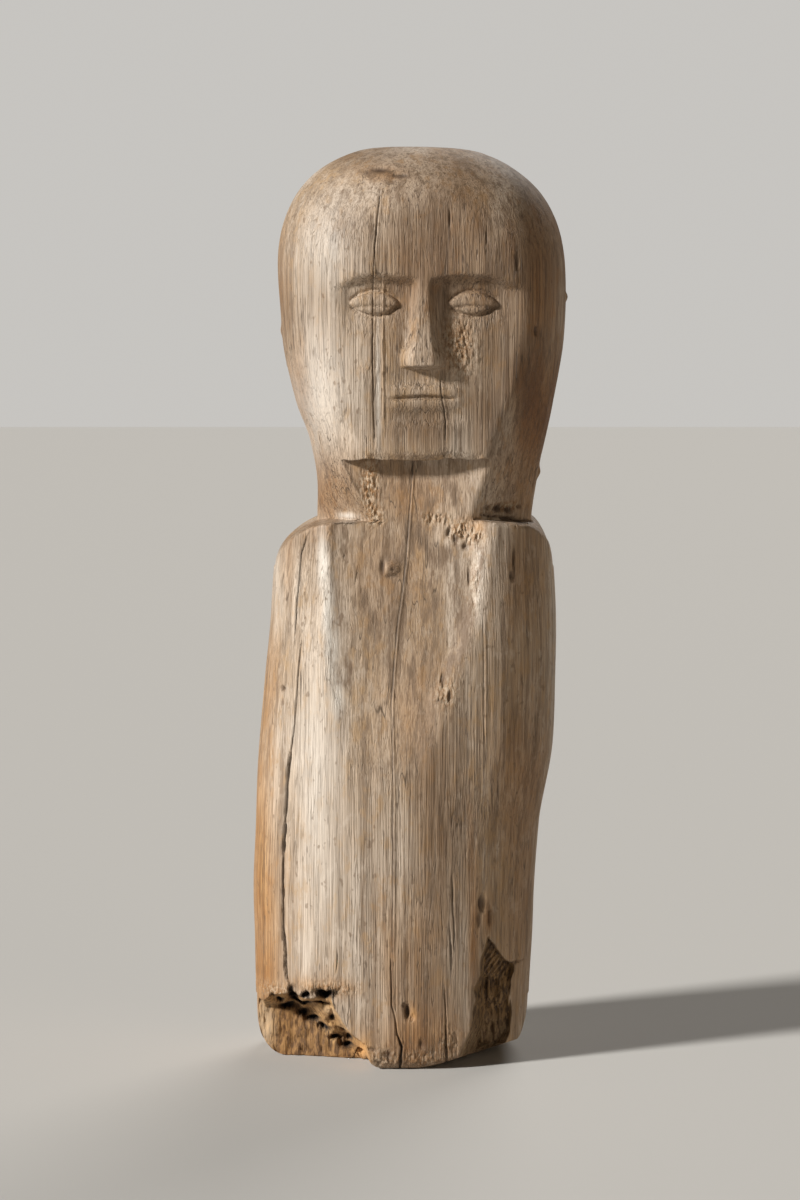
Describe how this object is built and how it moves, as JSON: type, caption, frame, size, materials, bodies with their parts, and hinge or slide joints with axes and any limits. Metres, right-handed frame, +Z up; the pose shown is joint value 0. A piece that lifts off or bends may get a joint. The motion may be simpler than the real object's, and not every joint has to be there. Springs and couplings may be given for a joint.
{
  "type": "votive statuette",
  "caption": "Standing wooden votive figure with a domed head, flat face, wide neck, square shoulders, scooped chest and a plain rounded body, its foot broken and rotted at the front corners.",
  "frame": {"origin": "middle of the underside", "axes": "+Z up along the figure, +X to the viewer's right, the face looks along -Y"},
  "size_m": [0.1038, 0.0746, 0.3],
  "materials": {
    "weathered_wood": "bleached bare wood, matt, with open grain, drying cracks and rotted corners"
  },
  "bodies": {
    "root": {"statuette": "weathered_wood"}
  },
  "joints": []
}
